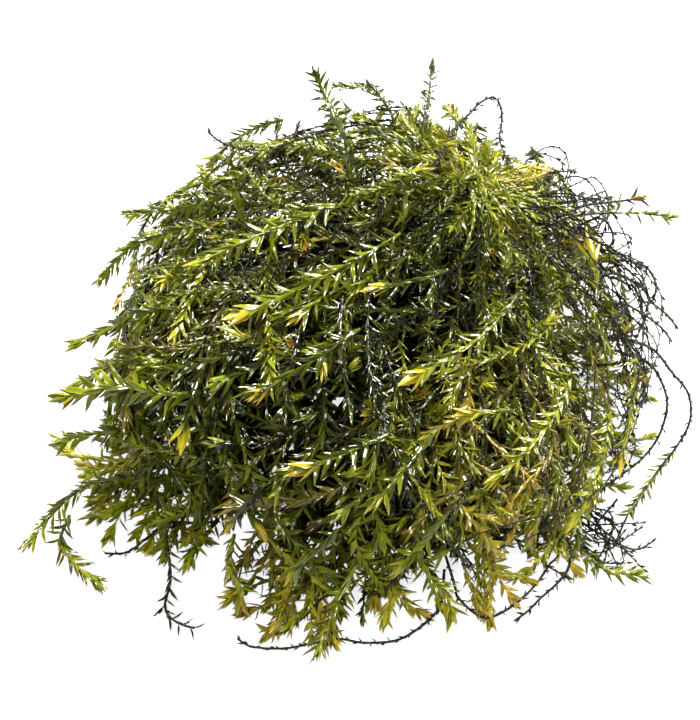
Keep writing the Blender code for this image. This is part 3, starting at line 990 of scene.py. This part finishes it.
DEAD_TONE, DEAD_SIZE, DEAD_STEM = 0.06, 0.6, (0.03, 0.1)
BROWN_SHARE, BROWN_IN_THE_BROAD = 0.14, 0.22
# a plain shoot has fewer leaves, so each is wider
PLAIN_WIDTH, PLAIN_SPACING = 3.0, 2.3


def mat_shoot(sheaf, route, plain, painted_shade, dead_share):
    """One shoot of the mat, with the looks of its place."""
    looks = habit(route[-1])
    dead = dice.random() < dead_share
    # the tone is lowered as painted shade in the middle and deep layers and the bed, and raised a little
    # for the foot strands and the sprigs
    tone = DEAD_TONE if dead else looks[TONE] - painted_shade + dice.normal(0, 0.11)
    shapes = ("open", "broad") if dice.random() < looks[BREADTH] else ("narrow", "broad")
    brown = dice.random() < BROWN_SHARE + BROWN_IN_THE_BROAD * looks[BREADTH] and not plain
    kind, tone = ("old", tone + 0.15) if brown else ("leaf", tone)
    budding = dice.random() < looks[BUDS] and not dead
    leaf = (looks[LEAF] + dice.normal(0, 0.3)) * (DEAD_SIZE if dead else 1.0)
    bud = dict(bud=kind, bud_width=looks[WIDTH], bud_tone=tone + 0.15)
    if budding:
        bud = dict(bud="bud", bud_width=0.14, bud_tone=dice.uniform(0.1, 0.9))
    shoot(
        sheaf, route, leaf=(leaf * 0.9, leaf), width=looks[WIDTH] * (PLAIN_WIDTH if plain else 1.0),
        spacing=looks[SPACING] * (PLAIN_SPACING if plain else 1.0),
        spread=(looks[SPREAD], looks[SPREAD] * 0.7), tones=(tone - 0.12, tone + 0.10), kind=kind,
        bud_leaf=leaf * 1.1, shapes=("plain", "plain") if plain else shapes, stem="thread",
        stem_radii=(0.34, 0.22), stem_tones=DEAD_STEM if dead else (tone, tone + 0.25), **bud,
    )


# in millimetres, from the middle of the clump and up from the table
MIDDLE, LOW_LEFT_TOP = 2.0, 30.0


def sector(place):
    """The part of the clump that a place is in: one of its quarters, or the low left of its front."""
    if place[0] < MIDDLE and place[1] < MIDDLE and place[2] < LOW_LEFT_TOP:
        return "low_left"
    return ("front" if place[1] < MIDDLE else "back") + ("_right" if place[0] > MIDDLE else "_left")


CROSSING_SHARE = 0.20
STRAIGHT_SHARE, STRAIGHT_DRIFT, WILD_DRIFT = 0.8, 14, 60
DEAD_SHARE = 0.08


def grow_mat(count, falls, lengths, depth_start, depth_end, plain=False, painted_shade=0.0):
    """That many shoots in a layer of the mat, sorted into parts by where they end."""
    sheaves = {}
    for _ in range(count):
        compass = dice.uniform(0, 360)
        fall = math.degrees(math.acos(1 - dice.uniform(*falls)))
        length = dice.uniform(*lengths)
        if dice.random() < CROSSING_SHARE:
            fall = -dice.uniform(5, 40)
        drift = dice.normal(0, STRAIGHT_DRIFT if dice.random() < STRAIGHT_SHARE else WILD_DRIFT)
        depths = dice.uniform(*depth_start), dice.uniform(*depth_end)
        route = mat_route(compass, fall, length, depths, drift)
        if plain or not in_a_gap(route):
            sheaf = sheaves.setdefault(sector(route[-1]), new_sheaf())
            mat_shoot(sheaf, route, plain, painted_shade, DEAD_SHARE)
    return sheaves


print("mat helpers ready")

# %% The layers
MOUND = ["matted_mound"]
# each deeper layer's tone is lowered as painted shade
LAYERS = {
    "surface": dict(
        count=420, falls=(0.0, 1.22), lengths=(24, 42), depth_start=(0.84, 0.93), depth_end=(0.95, 1.04)
    ),
    "middle": dict(
        count=190, falls=(0.0, 1.25), lengths=(26, 46), depth_start=(0.66, 0.82), depth_end=(0.80, 0.93),
        painted_shade=0.08,
    ),
    "deep": dict(
        count=400, falls=(0.0, 1.3), lengths=(30, 60), depth_start=(0.3, 0.66), depth_end=(0.55, 0.84),
        plain=True, painted_shade=0.2,
    ),
}
for layer, recipe in LAYERS.items():
    for part, sheaf in grow_mat(**recipe).items():
        name = f"mat_{layer}_{part}"
        finish = low_leaf if part == "low_left" else mat_leaf
        # the deep layer takes the finish that is painted dark as shade
        finish_piece(name, sheaf, MOUND, deep_leaf_painted_shade if layer == "deep" else finish)
        print(name, triangle_counts[name], "triangles")

# %% [markdown]
# ## The foot and the top
# Round the foot, short strands with broad thin leaves lie on the table and stick out past the
# mound. Short sprigs stand up out of the tangle and break its outline. In the middle a few older
# shoots have gone dark, and only the water on them shines.

# %% Foot strands
def foot_route(bearing, inner, outer, height, bend):
    """A strand that runs out over the ground from under the mound's rim."""
    share = np.linspace(0, 1, 16)
    turn = math.radians(bearing) + bend * share
    distance = inner + (outer - inner) * share
    heights = 1.2 + height * (1 - share) ** 1.5
    return np.stack([np.cos(turn) * distance, np.sin(turn) * distance * 0.95, heights], axis=1)


# bearing, half width and how much farther the strands reach there
FOOT_REACH = [(205.0, 10.0, 11.0), (254.0, 13.0, 6.0), (302.0, 14.0, 4.0)]
# first and last bearing, and how many strands grow between them
FOOT_TUFTS = [(0.0, 357.0, 110), (196.0, 230.0, 18), (240.0, 268.0, 12), (288.0, 316.0, 12)]
bearings = np.concatenate([np.linspace(*tuft) for tuft in FOOT_TUFTS])
foot = new_sheaf()
for bearing in bearings + dice.uniform(-2, 2, len(bearings)):
    outer = dice.uniform(53, 64)
    for middle, half, reach in FOOT_REACH:
        outer += reach * math.exp(-(((bearing - middle) / half) ** 2))
    inner = outer - dice.uniform(14, 20)
    route = foot_route(bearing, inner, outer, dice.uniform(4, 12), dice.normal(0, 0.12))
    if not in_a_gap(route):
        mat_shoot(foot, route, plain=False, painted_shade=-0.04, dead_share=0.05)
finish_piece("foot_strands", foot, MOUND, foot_leaf)
print("foot strands:", triangle_counts["foot_strands"], "triangles")

# %% Sprigs
SPRIGS, SPRIG_ROOT = 150, 0.88
sprigs = new_sheaf()
for _ in range(SPRIGS):
    compass = dice.uniform(0, 360)
    fall = math.degrees(math.acos(1 - dice.uniform(0, 0.95)))
    way = from_crown(np.array([compass]), np.array([fall]))[0]
    start = CENTRE + way * mound_radius(way) * SPRIG_ROOT
    lean = unit(way + 0.9 * dice.normal(0, 1, 3) * np.array([1, 1, 0.5]))
    reach = dice.uniform(7, 12) * (1.0 - 0.4 * way[2])
    middle = start + way * reach * 0.5
    route = through([start, middle, middle + lean * reach * 0.55])
    if not in_a_gap(route):
        mat_shoot(sprigs, route, plain=False, painted_shade=-0.03, dead_share=0.1)
finish_piece("sprigs", sprigs, MOUND, mat_leaf)
print("sprigs:", triangle_counts["sprigs"], "triangles")

# %% Dark shoots
DARK_SHOOTS = [
    (236, 253, 50, 69), (242, 263, 46, 72), (233, 242, 62, 78), (250, 268, 52, 66), (256, 274, 62, 82),
]
DARK = dict(
    leaf=(3.6, 4.2), width=0.11, spread=(50, 38), tones=(0.06, 0.18), shapes=("narrow", "lance"),
    bud="leaf", bud_tone=0.2, bud_leaf=4.0, bud_width=0.11, stem_tones=(0.05, 0.2),
)
dark_shoots = new_sheaf()
for angles in DARK_SHOOTS:
    shoot(dark_shoots, over_mound(*angles, lift=2.0), **DARK)
finish_piece("dark_shoots", dark_shoots, MOUND, wet_leaf)
print("dark shoots:", triangle_counts["dark_shoots"], "triangles")

# %% [markdown]
# ## Loose wires
# Old bare stems also thread through the mat's surface, most of them on the right and behind on
# the left. They are stiffer than the leafy shoots, so they stand a little proud in wide bends.

# %% Wires over the mat
WIRE_BENDS = 7.0


def stray_wire(compass, fall, length, drift, lift):
    """A bare stem that runs over the mat and rises from it in the middle of its length."""
    share = np.linspace(0, 1, 24)
    bends = WIRE_BENDS * np.sin(share * dice.uniform(4, 9) + dice.uniform(0, 6.3))
    ways = from_crown(compass + drift * share + bends, fall + length * share + 0.6 * bends)
    rise = lift * np.sin(share * math.pi * dice.uniform(0.7, 1.3)) - 1.0
    route = CENTRE + ways * (mound_radius(ways) + rise)[:, None]
    route[:, 2] = np.maximum(route[:, 2], 1.0)
    return route


WIRE_HANKS = [
    # compass, spread, falls, count, lift
    (12, 44, (12, 50), 34, 9.5), (350, 30, (50, 78), 10, 4.0), (130, 40, (30, 70), 6, 4.0),
    (200, 180, (20, 80), 26, 2.0), (290, 50, (12, 34), 10, 1.5),
]
wires = new_sheaf()
for middle, spread, falls, count, lift in WIRE_HANKS:
    for _ in range(count):
        compass = middle + dice.normal(0, 0.5) * spread
        fall, length, drift = dice.uniform(*falls), dice.uniform(16, 38), dice.normal(0, 25)
        route = stray_wire(compass, fall, length, drift, lift * dice.uniform(0.2, 1.2))
        wire(wires, route, radii=(0.25, 0.17), stub=dice.uniform(0.8, 1.7), stem="thread", spacing=1.6)

# %% A knot of twigs low on the right
TWIGS = 13
TWIG_PASSES = [(44, -36, 7), (49, -40, 4), (55, -42, 2.5)]
TWIG_JITTER = [(5, 4, 3), (4, 4, 2), (6, 5, 2)]
TWIG_REACH, LEAST_TWIG_HEIGHT = 60.0, 1.0
for _ in range(TWIGS):
    passes = TWIG_PASSES + dice.normal(0, 1, (3, 3)) * TWIG_JITTER
    passes[:, 0] = np.minimum(passes[:, 0], TWIG_REACH)
    passes[:, 2] = np.maximum(passes[:, 2], LEAST_TWIG_HEIGHT)
    wire(wires, through(passes), radii=(0.30, 0.20), stub=1.5, stem="thread", spacing=1.2)
finish_piece("mat_wires", wires, MOUND, wiry_stem)
print("wires:", triangle_counts["mat_wires"], "triangles")

# %% [markdown]
# ## The bed
# Between the shoots one looks down into more moss, too dark to tell its leaves apart. Plain shoots
# that lie along the table close the mound from below; their tone is lowered and their finish
# darkened as painted shade.

# %% The bed
BED_SHOOTS, BED_LENGTH = 90, 24
bed = new_sheaf()
for _ in range(BED_SHOOTS):
    outer = dice.uniform(24, 48)
    bearing, height, bend = dice.uniform(0, 360), dice.uniform(2, 10), dice.normal(0, 0.5)
    route = foot_route(bearing, outer - BED_LENGTH, outer, height, bend)
    if not in_a_gap(route):
        # the bed's tone is lowered by 0.3 as painted shade, and its finish darkens it more
        mat_shoot(bed, route, plain=True, painted_shade=0.3, dead_share=0.3)
finish_piece("mat_bed", bed, MOUND, deep_leaf_painted_shade)
print("bed:", triangle_counts["mat_bed"], "triangles")
most = max(triangle_counts, key=triangle_counts.get)
print("all pieces:", sum(triangle_counts.values()), "triangles, and", triangle_counts[most], "in", most)

# %% [markdown]
# ## Table and light
# A plain pale table, with a main light from above and behind and two small ones from the side and
# the front, in a dim white room. The wet leaves pick up small bright glints from the lights, and
# the gaps between them stay dark. The table glows a little to the camera, which keeps it white.

# %% Floor
bm = bmesh.new()
bmesh.ops.create_grid(bm, x_segments=1, y_segments=1, size=3.0)
floor_mesh = bpy.data.meshes.new("table_top")
bm.to_mesh(floor_mesh)
bm.free()
table_top = bpy.data.objects.new("table_top", floor_mesh)
bpy.context.scene.collection.objects.link(table_top)
TABLE_GLOW = 0.80
white = bpy.data.materials.new("white_table")
white.use_nodes = True
board = white.node_tree.nodes["Principled BSDF"]
seen = white.node_tree.nodes.new("ShaderNodeLightPath").outputs["Is Camera Ray"]
glow = white.node_tree.nodes.new("ShaderNodeMath")
glow.operation = "MULTIPLY"
glow.inputs[1].default_value = TABLE_GLOW
white.node_tree.links.new(seen, glow.inputs[0])
white.node_tree.links.new(glow.outputs[0], board.inputs["Emission Strength"])
board.inputs["Base Color"].default_value = (0.3, 0.3, 0.3, 1.0)
board.inputs["Roughness"].default_value = 0.9
board.inputs["Specular IOR Level"].default_value = 0.1
board.inputs["Emission Color"].default_value = (1.0, 1.0, 1.0, 1.0)
floor_mesh.materials.append(white)
print("table top is white")

# %% Lights
LIT_PLACE = Vector((0.0, 0.0, 0.02))


def area_light(name, place, size, power):
    """A square softbox at a place, turned to the clump."""
    lamp = bpy.data.lights.new(name, "AREA")
    lamp.shape, lamp.size, lamp.energy = "SQUARE", size, power
    lamp_object = bpy.data.objects.new(name, lamp)
    lamp_object.location = place
    lamp_object.rotation_mode = "QUATERNION"
    lamp_object.rotation_quaternion = (LIT_PLACE - Vector(place)).to_track_quat("-Z", "Y")
    bpy.context.scene.collection.objects.link(lamp_object)


area_light("key", (0.10, 0.48, 0.82), 0.34, 34.0)
area_light("side", (0.65, 0.05, 0.65), 0.24, 9.0)
area_light("front", (-0.20, -0.50, 0.85), 0.24, 10.0)
world = bpy.data.worlds.new("room")
world.use_nodes = True
walls = world.node_tree.nodes["Background"]
walls.inputs["Color"].default_value = (1.0, 1.0, 1.0, 1.0)
walls.inputs["Strength"].default_value = 0.10
bpy.context.scene.world = world
bpy.context.scene.view_settings.view_transform = "Standard"
print("lights are set")
